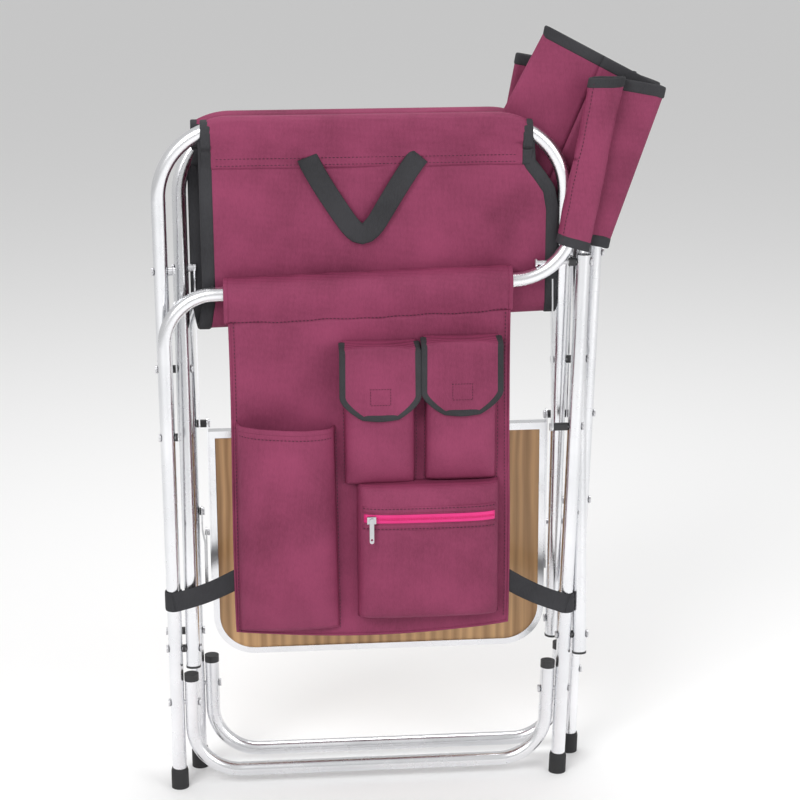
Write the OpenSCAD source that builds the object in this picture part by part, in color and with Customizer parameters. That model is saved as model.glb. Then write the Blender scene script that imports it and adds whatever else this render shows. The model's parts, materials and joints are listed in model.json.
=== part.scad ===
// Folding director chair with a side table and a pocket organiser.
// Shown folded side to side. +X points to the rear of the chair, +Y from the
// organiser side to the table side, +Z up. All sizes in millimetres.

/* [Tubes] */
// Outside diameter of the frame tubes
tube_d = 16; // [15:0.5:16]
// Wall thickness of the frame tubes
tube_wall = 1.2; // [1:0.1:2]
// Diameter of the rivet shanks
rivet_d = 5; // [4:0.5:5]

/* [Side frames] */
// Floor distance from a front leg to its rear leg
frame_depth = 442.4; // [440:0.2:444]
// Lean of the rear legs, in degrees
rear_leg_lean = 1.95; // [1.8:0.05:2.1]
// Height of the armrest tube at the front corner
arm_height = 581; // [570:1:600]
// Rise of the armrest tube towards the back, in degrees
arm_rise = 1.5; // [0:0.1:2]
// Backward lean of the backrest posts, in degrees
post_lean = 10.8; // [10:0.1:12]
// Height of the top end of the backrest posts
post_height = 797; // [780:1:810]
// Bend radius of the front corner
front_bend = 57; // [50:1:65]
// Bend radius between armrest and backrest post
post_bend = 68; // [60:1:72]
// Height of the floor bars above the ground, at the tube centre
bar_height = 19; // [15:1:24]
// Height of the open ends of the floor bars
bar_end_height = 132; // [120:1:134]
// Bend radius of the floor bars
bar_bend = 55; // [45:1:60]

/* [Scissor legs] */
// Height of the bottom pivots
bottom_pivot_z = 171; // [168:1:175]
// Leg length from the bottom pivot to the centre pivot
lower_arm = 323; // [318:1:328]
// Leg length from the centre pivot to the link pivot
upper_arm = 113; // [108:1:116]
// Leg length from the centre pivot to the seat rail
rail_arm = 274; // [270:1:278]
// Distance between the side frames, folded
folded_gap = 56; // [55:1:57]
// Distance between the side frames, open
open_gap = 560; // [550:1:570]
// Bend radius of the seat rail corners
rail_bend = 80; // [70:1:85]
// Length of leg below the bottom pivot
leg_tail = 20; // [16:1:22]

/* [Side table] */
// Height of the upper edge of the hanging table
table_top_z = 412; // [405:1:412]
// Height of the lower edge of the hanging table
table_low_z = 141; // [135:1:150]
// Thickness of the table edge channel
table_thick = 14; // [12:1:16]
// Corner radius at the lower edge
table_corner = 48; // [40:1:55]

/* [Fabric] */
// Thickness of the padded seat
seat_thick = 6; // [4:0.5:6]
// Thickness of the backrest cloth panels
cloth_thick = 2.4; // [2:0.2:3]
// Sag of the open seat at its middle
seat_sag = 30; // [20:1:35]
// Outside radius of the armrest padding
arm_pad_r = 17; // [14:0.5:18]
// Depth of the pockets
pocket_depth = 28; // [20:1:32]

/* [Hidden] */
$fn = 48;

// Centre of the whole folded chair, so that the origin lies under it.
centre_x = 264.013;
centre_y = 13.6;

// Colours
alu = [0.86, 0.87, 0.89];
steel = [0.72, 0.73, 0.75];
black_plastic = [0.07, 0.07, 0.08];
maroon = [0.48, 0.12, 0.28];
webbing = [0.06, 0.06, 0.07];
wood = [0.78, 0.55, 0.30];
pink = [0.80, 0.10, 0.42];

// General fits
tube_r = tube_d / 2;
bore_d = tube_d - 2 * tube_wall;
hole_d = rivet_d + 0.1;
head_d = 9;
head_t = 2;
spacer_d = 9;
play = 0.2;
far_shift = 23;
far_x = far_shift;
far_y = folded_gap;

// Side frame
foot_floor = 6;
foot_d = 20;
foot_h = 24;
side_gap = 1;
bar_rivet_z = 105;
bend_skin = 0.1;
top_bolt_z = 610;
rear_leg_top = 618;
post_x = 439.1;
knee_x = post_x / (1 - tan(arm_rise) * tan(post_lean));
knee_z = arm_height + knee_x * tan(arm_rise);
post_top_x = post_x + (post_height - arm_height) * tan(post_lean);

// Scissor geometry: 0 is folded, 1 is open
theta_0 = asin(folded_gap / 2 / lower_arm);
theta_1 = asin(open_gap / 2 / lower_arm);
link_h = 2 * lower_arm * upper_arm * (cos(theta_0) + cos(theta_1)) / (lower_arm + upper_arm);
link_z = bottom_pivot_z + link_h;
stud_y = (lower_arm - upper_arm) * sin(theta_0);
stud_z = bottom_pivot_z + (lower_arm + upper_arm) * cos(theta_0);
link_len = norm([stud_y, stud_z - link_z]);
link_tilt = atan2(stud_y, stud_z - link_z);
rail_v = lower_arm + rail_arm;
rail_y = folded_gap / 2 - rail_arm * sin(theta_0);
rail_z = bottom_pivot_z + rail_v * cos(theta_0);
centre_z = bottom_pivot_z + lower_arm * cos(theta_0);
near_rail_x = [-2, 443];
far_rail_x = [19.8, 466];
link_t = 1.6;
link_w = 9.6;
near_link_x = [11, 430.4];
far_link_x = [33.4, 455.4];
stud_gap = 0.3;

// Side table
table_x = [44, 432];
table_y = 60;
board_t = 10;
rim_w = 7;
rim_skin = 2;
rail_t = 1.6;
rail_w = 14;
brace_top_z = 316.6;
brace_table_z = 290.4;
brace_table_y = 57.6;
brace_w = 12;
brace_t = 1.6;
upper_brace_len = 96.9;
brace_table_r = link_z - brace_table_z;
brace_reach = norm([brace_table_r, brace_top_z - link_z - (brace_table_y - far_y)]);
lower_brace_len = brace_reach - upper_brace_len;
knee_d = norm([brace_table_y - far_y, brace_top_z - brace_table_z]);
knee_a = (upper_brace_len ^ 2 - lower_brace_len ^ 2 + knee_d ^ 2) / (2 * knee_d);
knee_h = sqrt(max(0, upper_brace_len ^ 2 - knee_a ^ 2));
knee_dir = [brace_table_y - far_y, brace_table_z - brace_top_z] / knee_d;
knee_pt = [far_y, brace_top_z] + knee_a * knee_dir + knee_h * [knee_dir[1], -knee_dir[0]];

// Seat, in its own plane: v runs from the rail axis down to the fold
half_span = rail_arm * sin(theta_1);
seat_len = norm([half_span, seat_sag]);
seat_tilt = asin((folded_gap / 2 - rail_y) / seat_len);
seat_cut = 37;
seat_x = [51, 400];
seat_wing_x = 428;
sleeve_x = [101, 361];
sleeve_gap = 0.3;
sleeve_t = 2;
plate_top = 17;

// Armrests and organiser
arm_pad_x = [68, 381];
pad_hem = 33;
panel_x = [71, 380];
panel_y = -13;
panel_t = 3;
panel_top = 552;
panel_low = 194;
pocket_wall = 1.6;
bottle = [[76, 184], [197, 434]];
phone_front = [[196, 273], [367, 526]];
phone_rear = [[286, 364], [370, 530]];
zip_box = [[210, 368], [211, 366]];
zip_z = 331;
zip_gap = 6;
zip_front = panel_y - pocket_depth;
flap_t = 1.6;
flap_gap = 0.5;
flap_drop = 80;
flap_hinge_y = panel_y - 2.5;
strap_t = 1;
strap_w = 24;
strap_front_z = 230;
strap_rear_z = 212;

// Backrest, in the plane square to the posts: u across, w along the post
back_low = 8;
back_top = 172;
fold_tilt = 8.5;
sleeve_len = 174;
sleeve_rise = 14;
post_sleeve_w = 30;
post_sleeve_t = 17.4;
post_sleeve_u = 6;
sleeve_foot = [post_x + (634.5 - arm_height) * tan(post_lean), 634.5];
plane_1 = 8;
plane_2 = 24.4;
plane_3 = 30.6;
plane_4 = 72;
plane_5 = 64;
back_len = norm([open_gap, far_shift - (plane_5 - far_y) + plane_1]);
u_1 = 62;
u_2 = u_1 + 135;
peak_u = u_1 - 135 * cos(2 * fold_tilt);
right_fold = 50;
u_3 = u_2 + (right_fold - peak_u) / cos(2 * fold_tilt);
left_over = back_len - u_3;
u_4 = u_3 + (left_over + right_fold - far_shift) / 2;
crease = 2.5;

// ---------- helpers ----------

function heading(a, b) = atan2(b[1] - a[1], b[0] - a[0]);
function wrap(t) = t > 180 ? t - 360 : (t < -180 ? t + 360 : t);
function bend_at(p, i) = wrap(heading(p[i], p[i + 1]) - heading(p[i - 1], p[i]));
function tangent(p, r, i) = (i == 0 || i == len(p) - 1) ? 0 : r[i] * tan(abs(bend_at(p, i)) / 2);
function rear_x(z) = frame_depth + z * tan(rear_leg_lean);

module place() translate([-centre_x, -centre_y, 0]) children();

module ring_outline(skin = 0) {
    difference() {
        circle(d = tube_d - 2 * skin);
        circle(d = bore_d + 2 * skin);
    }
}

// Hollow tube along points [x, z] with a bend radius at each inner point.
module bent_tube(p, r) {
    rotate([90, 0, 0]) {
        for (i = [0 : len(p) - 2]) {
            h = heading(p[i], p[i + 1]);
            t = tangent(p, r, i);
            run = norm(p[i + 1] - p[i]) - t - tangent(p, r, i + 1);
            start = p[i] + t * [cos(h), sin(h)];
            translate([start[0], start[1], 0])
                rotate([0, 0, h])
                    rotate([0, 90, 0])
                        linear_extrude(run) ring_outline();
        }
        for (i = [1 : len(p) - 2]) {
            h = heading(p[i - 1], p[i]);
            b = bend_at(p, i);
            s = sign(b);
            start = p[i] - tangent(p, r, i) * [cos(h), sin(h)];
            centre = start + s * r[i] * [-sin(h), cos(h)];
            first = s > 0 ? h - 90 : h + 90 + b;
            lap = 0.6 / r[i] * 180 / PI;
            translate([centre[0], centre[1], 0])
                rotate([0, 0, first - lap])
                    rotate_extrude(angle = abs(b) + 2 * lap)
                        translate([r[i], 0]) ring_outline(bend_skin);
        }
    }
}

// Rod along X between two x values.
module x_rod(x1, x2, y, z, d) {
    translate([x1, y, z]) rotate([0, 90, 0]) cylinder(d = d, h = x2 - x1);
}

// Rivet along X with a head outside each end.
module rivet(x1, x2, y, z) {
    color(steel) {
        x_rod(x1 - play, x2 + play, y, z, rivet_d);
        x_rod(x1 - play - head_t, x1 - play, y, z, head_d);
        x_rod(x2 + play, x2 + play + head_t, y, z, head_d);
    }
}

module spacer(x1, x2, y, z, d = spacer_d) {
    color(black_plastic)
        difference() {
            x_rod(x1 + play, x2 - play, y, z, d);
            x_rod(x1 - 1, x2 + 1, y, z, hole_d);
        }
}

// Flat bar in a plane square to X, from (y, z) a to b, with a hole at each end.
module flat_bar(x, a, b, w, t, holes = [true, true]) {
    run = norm(b - a);
    tilt = atan2(b[0] - a[0], b[1] - a[1]);
    translate([x, a[0], a[1]])
        rotate([-tilt, 0, 0])
            difference() {
                union() {
                    translate([0, -w / 2, 0]) cube([t, w, run]);
                    x_rod(0, t, 0, 0, w);
                    x_rod(0, t, 0, run, w);
                }
                if (holes[0]) x_rod(-1, t + 1, 0, 0, hole_d);
                if (holes[1]) x_rod(-1, t + 1, 0, run, hole_d);
            }
}

// ---------- side frames ----------

module side_tube() {
    path = [[0, foot_floor], [0, arm_height], [knee_x, knee_z], [post_top_x, post_height]];
    color(alu)
        difference() {
            bent_tube(path, [0, front_bend, post_bend, 0]);
            for (z = [bottom_pivot_z, link_z, bar_rivet_z, brace_top_z])
                x_rod(-tube_d, tube_d, 0, z, hole_d);
            x_rod(post_x - 38, post_x + 20, 0, top_bolt_z, hole_d);
        }
}

module rear_leg() {
    path = [[rear_x(foot_floor), foot_floor], [rear_x(rear_leg_top), rear_leg_top]];
    color(alu)
        difference() {
            bent_tube(path, [0, 0]);
            for (z = [bottom_pivot_z, link_z, bar_rivet_z, brace_top_z, top_bolt_z])
                x_rod(rear_x(z) - tube_d, rear_x(z) + tube_d, 0, z, hole_d);
        }
}

function bar_rear_x(z) = rear_x(z) - tube_d - side_gap - 0.5;

module base_bar() {
    x1 = tube_d + side_gap;
    path = [[x1, bar_end_height], [x1, bar_height],
            [bar_rear_x(bar_height), bar_height], [bar_rear_x(bar_end_height), bar_end_height]];
    color(alu)
        difference() {
            bent_tube(path, [0, bar_bend, bar_bend, 0]);
            for (x = [x1, bar_rear_x(bar_rivet_z)])
                x_rod(x - tube_d, x + tube_d, 0, bar_rivet_z, hole_d);
        }
}

module foot(x, lean) {
    color(black_plastic)
        translate([x, 0, 0])
            difference() {
                rotate([0, lean, 0]) {
                    translate([0, 0, -2]) cylinder(d = foot_d, h = foot_h - 2);
                    translate([0, 0, foot_h - 4]) cylinder(d1 = foot_d, d2 = foot_d - 2, h = 4, $fn = 64);
                }
                rotate([0, lean, 0]) translate([0, 0, foot_floor]) cylinder(d = tube_d, h = foot_h);
                translate([-foot_d, -foot_d, -foot_d]) cube([2 * foot_d, 2 * foot_d, foot_d]);
            }
}

module feet() {
    foot(0, 0);
    foot(rear_x(0), rear_leg_lean);
}

// Plug with a flange as wide as the tube, its flange pointing up from z = 0.
module end_plug(flange) {
    color(black_plastic) {
        cylinder(d = tube_d + 0.6, h = flange);
        translate([0, 0, -10]) cylinder(d = bore_d, h = 10);
    }
}

module bar_plugs() {
    translate([tube_d + side_gap, 0, bar_end_height]) end_plug(8);
    translate([bar_rear_x(bar_end_height), 0, bar_end_height])
        rotate([0, rear_leg_lean, 0]) end_plug(8);
}

module frame_rivets() {
    rivet(-tube_r, tube_d + side_gap + tube_r, 0, bar_rivet_z);
    rivet(bar_rear_x(bar_rivet_z) - tube_r, rear_x(bar_rivet_z) + tube_r, 0, bar_rivet_z);
    arc_x = top_bolt_arc_x();
    rivet(arc_x - tube_r - 12, rear_x(top_bolt_z) + tube_r, 0, top_bolt_z);
}

// x of the rear bend's centre line at the height of the top bolt
function top_bolt_arc_x() =
    let (start = [knee_x, knee_z] - tangent([[0, arm_height], [knee_x, knee_z],
            [post_top_x, post_height]], [0, post_bend, 0], 1) * [cos(arm_rise), sin(arm_rise)],
         centre = start + post_bend * [-sin(arm_rise), cos(arm_rise)])
    centre[0] + sqrt(post_bend ^ 2 - (centre[1] - top_bolt_z) ^ 2);

module near_pivot_rivets() {
    rivet(-tube_r, far_rail_x[0] + tube_r, 0, bottom_pivot_z);
    rivet(rear_x(bottom_pivot_z) - tube_r, far_rail_x[1] + tube_r, 0, bottom_pivot_z);
    rivet(-tube_r, near_link_x[0] + link_t, 0, link_z);
    rivet(near_link_x[1], rear_x(link_z) + tube_r, 0, link_z);
}

module near_spacers() {
    spacer(tube_r, far_rail_x[0] - tube_r, 0, bottom_pivot_z);
    spacer(rear_x(bottom_pivot_z) + tube_r, far_rail_x[1] - tube_r, 0, bottom_pivot_z);
    spacer(tube_r, near_link_x[0], 0, link_z);
    spacer(near_link_x[1] + link_t, rear_x(link_z) - tube_r, 0, link_z);
    spacer(top_bolt_arc_x() + tube_r + 7, rear_x(top_bolt_z) - tube_r, 0, top_bolt_z);
}

module far_pivot_rivets() {
    rivet(near_rail_x[0] - tube_r, far_x + tube_r, far_y, bottom_pivot_z);
    rivet(near_rail_x[1] - tube_r, far_x + rear_x(bottom_pivot_z) + tube_r, far_y, bottom_pivot_z);
    rivet(far_x - tube_r, table_x[0], far_y, link_z);
    rivet(table_x[1], far_x + rear_x(link_z) + tube_r, far_y, link_z);
    rivet(far_x - tube_r, far_x + tube_r + 2 + brace_t, far_y, brace_top_z);
    rivet(rear_brace_x(), far_x + rear_x(brace_top_z) + tube_r, far_y, brace_top_z);
}

function rear_brace_x() = 455.4;

module far_spacers() {
    spacer(near_rail_x[0] + tube_r, far_x - tube_r, far_y, bottom_pivot_z);
    spacer(near_rail_x[1] + tube_r, far_x + rear_x(bottom_pivot_z) - tube_r, far_y, bottom_pivot_z);
    spacer(far_x + tube_r, far_link_x[0], far_y, link_z);
    spacer(far_link_x[0] + link_t, table_x[0] - rail_t, far_y, link_z);
    spacer(far_link_x[1] + link_t, far_x + rear_x(link_z) - tube_r, far_y, link_z);
    spacer(table_x[1] + rail_t, far_link_x[1], far_y, link_z);
    spacer(far_x + tube_r, far_x + tube_r + 2, far_y, brace_top_z);
    spacer(rear_brace_x() + brace_t, far_x + rear_x(brace_top_z) - tube_r, far_y, brace_top_z);
}

// ---------- scissor legs ----------

module rail_tube(x) {
    path = [[x[0], -leg_tail], [x[0], rail_v], [x[1], rail_v], [x[1], -leg_tail]];
    color(alu)
        difference() {
            bent_tube(path, [0, rail_bend, rail_bend, 0]);
            for (i = [0, 1], v = [0, lower_arm, lower_arm + upper_arm])
                x_rod(x[i] - tube_d, x[i] + tube_d, 0, v, hole_d);
        }
}

module rail_plugs(x) {
    for (i = [0, 1])
        translate([x[i], 0, -leg_tail]) rotate([180, 0, 0]) end_plug(2.5);
}

module lean_far() translate([0, 0, bottom_pivot_z]) rotate([-theta_0, 0, 0]) children();
module lean_near() translate([0, far_y, bottom_pivot_z]) rotate([theta_0, 0, 0]) children();

module far_rail_tube() lean_far() rail_tube(far_rail_x);
module far_rail_plugs() lean_far() rail_plugs(far_rail_x);
module near_rail_tube() lean_near() rail_tube(near_rail_x);
module near_rail_plugs() lean_near() rail_plugs(near_rail_x);

module centre_rivets() {
    for (i = [0, 1])
        rivet(near_rail_x[i] - tube_r, far_rail_x[i] + tube_r, folded_gap / 2, centre_z);
}

module centre_spacers() {
    for (i = [0, 1])
        spacer(near_rail_x[i] + tube_r, far_rail_x[i] - tube_r, folded_gap / 2, centre_z);
}

// Stub pivot with its plastic collar; it stops just short of the link.
module link_stud(tube_x, link_side_x, y) {
    s = sign(link_side_x - tube_x);
    inner = tube_x + s * tube_r;
    outer = tube_x - s * tube_r;
    tip = link_side_x - s * stud_gap;
    color(steel) {
        x_rod(min(outer, tip), max(outer, tip), y, stud_z, rivet_d);
        x_rod(min(outer, outer - s * head_t), max(outer, outer - s * head_t), y, stud_z, head_d);
        x_rod(min(inner, tip), max(inner, tip), y, stud_z, spacer_d);
    }
}

module near_link_studs() {
    link_stud(near_rail_x[0], near_link_x[0], stud_y);
    link_stud(near_rail_x[1], near_link_x[1] + link_t, stud_y);
}

module far_link_studs() {
    link_stud(far_rail_x[0], far_link_x[0], far_y - stud_y);
    link_stud(far_rail_x[1], far_link_x[1] + link_t, far_y - stud_y);
}

// Link with the flattened head of its upper pivot on the side away from the tube.
module link(x, y0, y1, head_side) {
    color(alu) flat_bar(x, [y0, link_z], [y1, stud_z], link_w, link_t, [true, false]);
    hx = head_side > 0 ? x + link_t : x - head_t / 2;
    color(steel) x_rod(hx, hx + head_t / 2, y1, stud_z, head_d);
}

module near_link_front() link(near_link_x[0], 0, stud_y, 1);
module near_link_rear() link(near_link_x[1], 0, stud_y, -1);
module far_link_front() link(far_link_x[0], far_y, far_y - stud_y, 1);
module far_link_rear() link(far_link_x[1], far_y, far_y - stud_y, -1);

// ---------- side table ----------

module table_outline(inset) {
    w = table_x[1] - table_x[0] - 2 * inset;
    h = table_top_z - table_low_z - inset;
    r = table_corner - inset;
    translate([table_x[0] + inset, table_low_z + inset]) {
        translate([0, r]) square([w, h - r]);
        translate([r, 0]) square([w - 2 * r, r + 1]);
        for (x = [r, w - r]) translate([x, r]) circle(r, $fn = 96);
    }
}

module table_slab(inset, t) {
    translate([0, table_y + t / 2, 0]) rotate([90, 0, 0]) linear_extrude(t) table_outline(inset);
}

module table_board() {
    color(wood)
        difference() {
            table_slab(rim_skin, board_t);
            translate([0, table_y - table_thick, table_top_z - rim_skin])
                cube([500, 2 * table_thick, 10]);
        }
}

module table_rim() {
    w = table_x[1] - table_x[0];
    color(alu) {
        difference() {
            table_slab(0, table_thick);
            table_slab(rim_skin, board_t);
            difference() {
                table_slab(rim_w, table_thick + 2);
                translate([0, table_y - table_thick, table_top_z - 8])
                    cube([500, 2 * table_thick, 20]);
            }
        }
        translate([table_x[0], table_y - table_thick / 2, table_top_z - rim_skin])
            cube([w, table_thick, rim_skin]);
    }
}

module table_side_rails() {
    for (x = [table_x[0] - rail_t, table_x[1]])
        color(alu)
            difference() {
                union() {
                    translate([x, far_y - rail_w / 2, 236]) cube([rail_t, rail_w, link_z - 236]);
                    x_rod(x, x + rail_t, far_y, link_z, rail_w);
                }
                x_rod(x - 1, x + rail_t + 1, far_y, link_z, hole_d);
                x_rod(x - 1, x + rail_t + 1, brace_table_y, brace_table_z, hole_d);
            }
}

front_low_brace_x = 37.5;
rear_low_brace_x = 453.4;
collar_d = 7;

module table_brace_rivets() {
    z = brace_table_z;
    y = brace_table_y;
    color(steel) {
        x_rod(front_low_brace_x, table_x[0], y, z, rivet_d);
        x_rod(front_low_brace_x - 1, front_low_brace_x, y, z, 6.5);
        x_rod(table_x[1], rear_low_brace_x + brace_t, y, z, rivet_d);
        x_rod(rear_low_brace_x + brace_t, rear_low_brace_x + brace_t + 0.2, y, z, 6.5);
    }
    spacer(front_low_brace_x + brace_t, table_x[0] - rail_t, y, z, collar_d);
    spacer(table_x[1] + rail_t, rear_low_brace_x, y, z, collar_d);
}

// The front upper brace steps sideways below its pivot to clear the leg.
module upper_braces() {
    x0 = far_x + tube_r + 2;
    step = front_low_brace_x - 0.3 - brace_t - x0;
    z_knee = -upper_brace_len;
    profile = [[0, 0], [0, -22], [step, -36], [step, z_knee], [step + brace_t, z_knee],
               [step + brace_t, -35.2], [brace_t, -21.2], [brace_t, 0]];
    tilt = atan2(knee_pt[0] - far_y, brace_top_z - knee_pt[1]);
    color(alu) {
        translate([x0, far_y, brace_top_z])
            rotate([tilt, 0, 0])
                difference() {
                    union() {
                        translate([0, brace_w / 2, 0]) rotate([90, 0, 0]) linear_extrude(brace_w) polygon(profile);
                        x_rod(0, brace_t, 0, 0, brace_w);
                        x_rod(step, step + brace_t, 0, z_knee, brace_w);
                    }
                    x_rod(-1, brace_t + 1, 0, 0, hole_d);
                }
        flat_bar(rear_brace_x(), [far_y, brace_top_z], knee_pt, brace_w, brace_t, [true, false]);
    }
}

module lower_braces() {
    for (x = [front_low_brace_x, rear_low_brace_x])
        color(alu)
            flat_bar(x, [brace_table_y, brace_table_z], knee_pt, brace_w, brace_t, [true, false]);
    color(steel) {
        x_rod(front_low_brace_x + brace_t, front_low_brace_x + brace_t + 1, knee_pt[0], knee_pt[1], 8);
        x_rod(rear_low_brace_x - 1, rear_low_brace_x, knee_pt[0], knee_pt[1], 8);
    }
}

// ---------- seat ----------

// Seat half drawn in the plane y = 0 with the rail axis at the origin.
module seat_half() {
    ring_r = tube_r + sleeve_gap + sleeve_t;
    color(maroon) {
        difference() {
            union() {
                x_rod(sleeve_x[0], sleeve_x[1], 0, 0, 2 * ring_r);
                translate([sleeve_x[0], -seat_thick / 2, -plate_top - 1])
                    cube([sleeve_x[1] - sleeve_x[0], seat_thick, plate_top - tube_r + 1]);
            }
            x_rod(sleeve_x[0] - 1, sleeve_x[1] + 1, 0, 0, tube_d + 2 * sleeve_gap);
        }
        translate([0, seat_thick / 2, 0])
            rotate([90, 0, 0])
                linear_extrude(seat_thick)
                    polygon([[seat_x[0], -44], [sleeve_x[0], -plate_top], [sleeve_x[1], -plate_top],
                             [seat_x[1], -34], [seat_x[1] + 2, -46],
                             [seat_x[1] + 14, -60], [seat_wing_x - 4, -80], [seat_wing_x, -104],
                             [seat_wing_x, seat_cut - seat_len], [seat_x[0] + 4, seat_cut - seat_len]]);
    }
}

module seat_near() translate([0, rail_y, rail_z]) rotate([seat_tilt, 0, 0]) seat_half();
module seat_far() translate([0, far_y - rail_y, rail_z]) rotate([-seat_tilt, 0, 0]) seat_half();

handle_x = [160, 282];
handle_v = 34;
handle_drop = 92;
handle_w = 24;
handle_t = 2.4;
handle_off = seat_thick / 2 + 0.3;

// Webbing loop on the underside of a seat half, hanging flat against it.
module handle_loop() {
    low = [(handle_x[0] + handle_x[1]) / 2, -handle_v - handle_drop];
    a = [handle_x[0], -handle_v];
    b = [handle_x[1], -handle_v];
    half = handle_w / 2;
    color(webbing)
        rotate([90, 0, 0])
            linear_extrude(handle_t)
                polygon([a - [half, 0], a + [half, 0], low + [-8, 34], low + [8, 34],
                         b - [half, 0], b + [half, 0], low + [26, 6], low + [14, 0],
                         low - [14, 0], low + [-26, 6]]);
}

module carry_handle_near()
    translate([0, rail_y, rail_z]) rotate([seat_tilt, 0, 0]) translate([0, -handle_off, 0]) handle_loop();
module carry_handle_far()
    translate([0, far_y - rail_y, rail_z]) rotate([-seat_tilt, 0, 0])
        translate([0, handle_off + handle_t, 0]) handle_loop();

// ---------- armrests and organiser ----------

module along_arm(x, z_off = 0)
    translate([x, 0, arm_height + x * tan(arm_rise) + z_off]) rotate([0, -arm_rise, 0]) children();

module arm_pad(hem) {
    color(maroon)
        along_arm(arm_pad_x[0])
            rotate([90, 0, 90])
                linear_extrude(arm_pad_x[1] - arm_pad_x[0])
                    difference() {
                        union() {
                            circle(arm_pad_r);
                            polygon([[-arm_pad_r, 0], [-13, -hem], [-10, -hem], [0, -arm_pad_r + 1]]);
                        }
                        circle(d = tube_d + 0.4);
                    }
}

module organiser_panel() {
    low = panel_low;
    top = panel_top - 4;
    color(maroon)
        translate([0, panel_y + panel_t, 0])
            rotate([90, 0, 0])
                linear_extrude(panel_t)
                    polygon([[panel_x[0], top - 5.5], [panel_x[1], top + 2.5], [panel_x[1] - 3, 380],
                             [panel_x[1], low + 8], [panel_x[0] + 120, low - 8], [panel_x[0] + 4, low]]);
}

// Open-topped pouch on the front of the panel: box is [[x0, x1], [z0, z1]].
module pouch(box, depth) {
    x = box[0];
    z = box[1];
    w = pocket_wall;
    color(maroon)
        translate([0, panel_y - depth, 0])
            difference() {
                translate([x[0], 0, z[0]]) cube([x[1] - x[0], depth, z[1] - z[0]]);
                translate([x[0] + w, w, z[0] + w])
                    cube([x[1] - x[0] - 2 * w, depth - 2 * w, z[1] - z[0]]);
            }
}

module bottle_pocket() pouch(bottle, pocket_depth + 2);
module phone_pocket_front() pouch(phone_front, pocket_depth - 4);
module phone_pocket_rear() pouch(phone_rear, pocket_depth - 4);

// Flap that covers a pouch's mouth and hangs over its front, with a round tip.
module flap(box) {
    x = box[0];
    top = box[1][1] + flap_gap;
    front = panel_y - (pocket_depth - 4) - flap_gap - flap_t;
    w = x[1] - x[0] + 4;
    tip_r = 20;
    color(maroon) {
        translate([x[0] - 2, front, top]) cube([w, flap_hinge_y - front, flap_t]);
        translate([x[0] - 2, front + flap_t, top + flap_t])
            rotate([90, 0, 0])
                linear_extrude(flap_t)
                    difference() {
                        union() {
                            translate([0, tip_r - flap_drop]) square([w, flap_drop - tip_r]);
                            translate([tip_r, -flap_drop]) square([w - 2 * tip_r, tip_r + 1]);
                            for (c = [tip_r, w - tip_r]) translate([c, tip_r - flap_drop]) circle(tip_r);
                        }
                    }
    }
}

module phone_flap_front() flap(phone_front);
module phone_flap_rear() flap(phone_rear);

module zip_pocket() {
    x = zip_box[0];
    z = zip_box[1];
    w = pocket_wall;
    color(maroon)
        difference() {
            translate([x[0], zip_front, z[0]]) cube([x[1] - x[0], pocket_depth, z[1] - z[0]]);
            translate([x[0] + w, zip_front + w, z[0] + w])
                cube([x[1] - x[0] - 2 * w, pocket_depth - 2 * w, z[1] - z[0] - 2 * w]);
            translate([x[0] + 8, zip_front - 1, zip_z - zip_gap / 2])
                cube([x[1] - x[0] - 16, w + 2, zip_gap]);
        }
}

module zipper_tape() {
    x = zip_box[0];
    color(pink)
        translate([x[0] + 8, zip_front, zip_z - zip_gap / 2])
            cube([x[1] - x[0] - 16, pocket_wall, zip_gap]);
}

slider_x = zip_box[0][0] + 13;

module zip_slider() {
    color(steel)
        translate([slider_x - 5, zip_front - 0.3 - 3, zip_z - 4]) cube([10, 3, 8]);
}

// Pull tab hanging from the slider's bail.
module zip_pull() {
    y = zip_front - 0.3 - 3 - 0.3 - 1.4;
    color(steel)
        translate([slider_x, y + 1.4, 0])
            rotate([90, 0, 0])
                linear_extrude(1.4)
                    difference() {
                        union() {
                            translate([-2.5, zip_z - 24]) square([5, 24]);
                            translate([0, zip_z]) circle(2.5);
                            translate([0, zip_z - 24]) circle(2.5);
                        }
                        translate([0, zip_z - 22]) circle(1.3);
                    }
}

// Hook-and-loop strap: a band round a leg and a tongue to the organiser's edge.
module tie_strap(x, lean, z, end_x, rise) {
    r_in = tube_r + 0.05;
    r_out = r_in + strap_t;
    s = sign(end_x - x);
    color(webbing) {
        translate([x, 0, z])
            rotate([0, lean, 0])
                translate([0, 0, -strap_w / 2])
                    difference() {
                        cylinder(r = r_out, h = strap_w);
                        translate([0, 0, -1]) cylinder(r = r_in, h = strap_w + 2);
                        if (s < 0) translate([6.5, -20, -1]) cube([20, 40, strap_w + 2]);
                    }
        translate([0, -r_in, 0])
            rotate([90, 0, 0])
                linear_extrude(strap_t)
                    polygon([[x + s * 1, z - strap_w / 2], [end_x, z - strap_w / 2 + rise],
                             [end_x, z + strap_w / 2 + rise], [x + s * 1, z + strap_w / 2]]);
    }
}

module tie_strap_front() tie_strap(0, 0, strap_front_z, panel_x[0] + 12, 30);
module tie_strap_rear()
    tie_strap(rear_x(strap_rear_z), rear_leg_lean, strap_rear_z, panel_x[1] - 12, 38);

// ---------- backrest ----------

module post_frame() translate([sleeve_foot[0], 0, sleeve_foot[1]]) rotate([0, post_lean, 0]) children();

module stadium(w, t) {
    square([w - t, t], center = true);
    for (s = [-1, 1]) translate([s * (w - t) / 2, 0]) circle(d = t);
}

module post_sleeve() {
    color(maroon)
        post_frame()
            translate([0, 0, sleeve_rise])
                linear_extrude(sleeve_len - sleeve_rise)
                translate([post_sleeve_u, 0])
                    difference() {
                        stadium(post_sleeve_w, post_sleeve_t);
                        stadium(post_sleeve_w - 1.2, post_sleeve_t - 1.2);
                    }
}

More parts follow.
